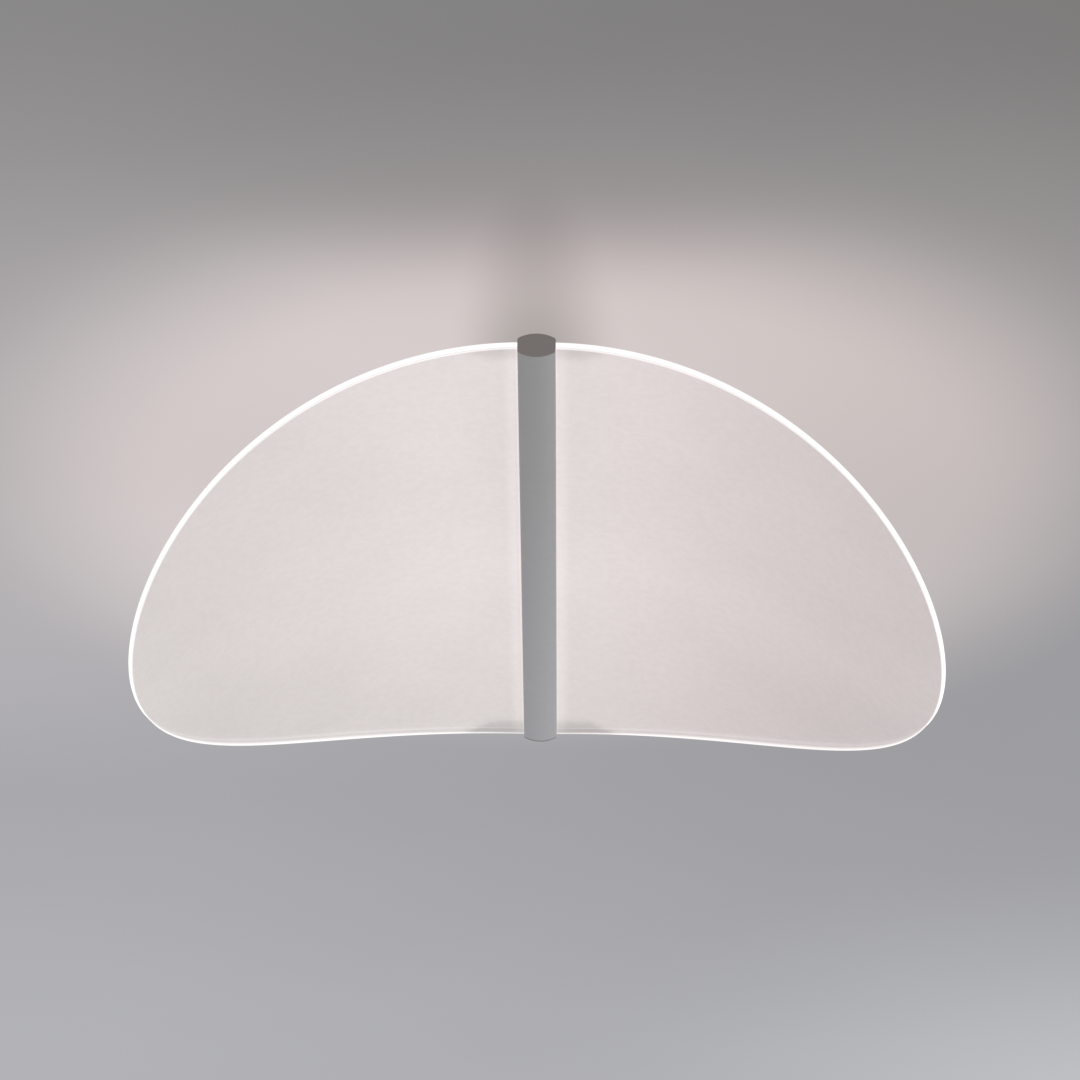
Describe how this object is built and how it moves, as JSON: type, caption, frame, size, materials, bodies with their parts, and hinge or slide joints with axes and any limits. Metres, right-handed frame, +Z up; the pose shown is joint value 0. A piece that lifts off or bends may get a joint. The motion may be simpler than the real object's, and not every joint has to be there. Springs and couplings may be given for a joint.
{
  "type": "led ceiling light",
  "caption": "Ceiling light: a slim soft-cornered tube hung below a narrow canopy grips bent clear wings with glowing edges.",
  "frame": {"origin": "centre of the bracket's upper face, where it meets the ceiling", "axes": "+Z up into the ceiling, Y along the tube with -Y at the front, X across the wings"},
  "size_m": [0.7954, 0.79, 0.2118],
  "materials": {
    "tube_paint": "satin light grey powder coat",
    "cap_paint": "matt mid grey powder coat",
    "canopy_paint": "satin light grey powder coat",
    "bare_aluminium": "as extruded",
    "clear_sheet": "clear acrylic with a fine printed dot haze, lit from its root edge",
    "led_board_white": "white solder mask",
    "led_phosphor": "yellow phosphor",
    "clear_silicone": "milky silicone",
    "zinc_steel": "zinc plated",
    "brass": "machined",
    "grommet_rubber": "matt",
    "driver_plastic": "moulded, fine texture",
    "circuit_board": "green solder mask",
    "transformer_tape": "yellow tape over ferrite",
    "capacitor_sleeve": "shrunk sleeve",
    "copper": "enamelled copper winding",
    "terminal_green": "moulded",
    "wire_brown": "insulation",
    "wire_blue": "insulation",
    "wire_green": "insulation",
    "wire_red": "insulation",
    "wire_black": "insulation"
  },
  "bodies": {
    "root": {"upper_shell": "tube_paint", "lower_shell": "tube_paint", "core_bar": "bare_aluminium", "left_wing": "clear_sheet", "right_wing": "clear_sheet", "left_led_board": "led_board_white", "right_led_board": "led_board_white", "left_leds": "led_phosphor", "right_leds": "led_phosphor", "left_wing_gaskets": "clear_silicone", "right_wing_gaskets": "clear_silicone", "front_end_cap": "cap_paint", "rear_end_cap": "cap_paint", "end_cap_screws": "zinc_steel", "body_screws": "zinc_steel", "front_stem": "zinc_steel", "rear_stem": "zinc_steel", "front_stem_sleeve": "tube_paint", "rear_stem_sleeve": "tube_paint", "stem_nuts": "brass", "canopy_shell": "canopy_paint", "canopy_screws": "zinc_steel", "ceiling_bracket": "zinc_steel", "cable_grommet": "grommet_rubber", "driver_case": "driver_plastic", "driver_cover": "driver_plastic", "driver_board": "circuit_board", "driver_transformer": "transformer_tape", "driver_capacitors": "capacitor_sleeve", "driver_choke": "copper", "driver_terminals": "terminal_green", "driver_screws": "zinc_steel", "terminal_block": "driver_plastic", "terminal_contacts": "brass", "terminal_screws": "zinc_steel", "terminal_fixing_screws": "zinc_steel", "live_wire": "wire_brown", "neutral_wire": "wire_blue", "earth_wire": "wire_green", "earth_lug": "brass", "earth_screw": "brass", "left_led_wires": "wire_red", "right_led_wires": "wire_black"}
  },
  "joints": []
}
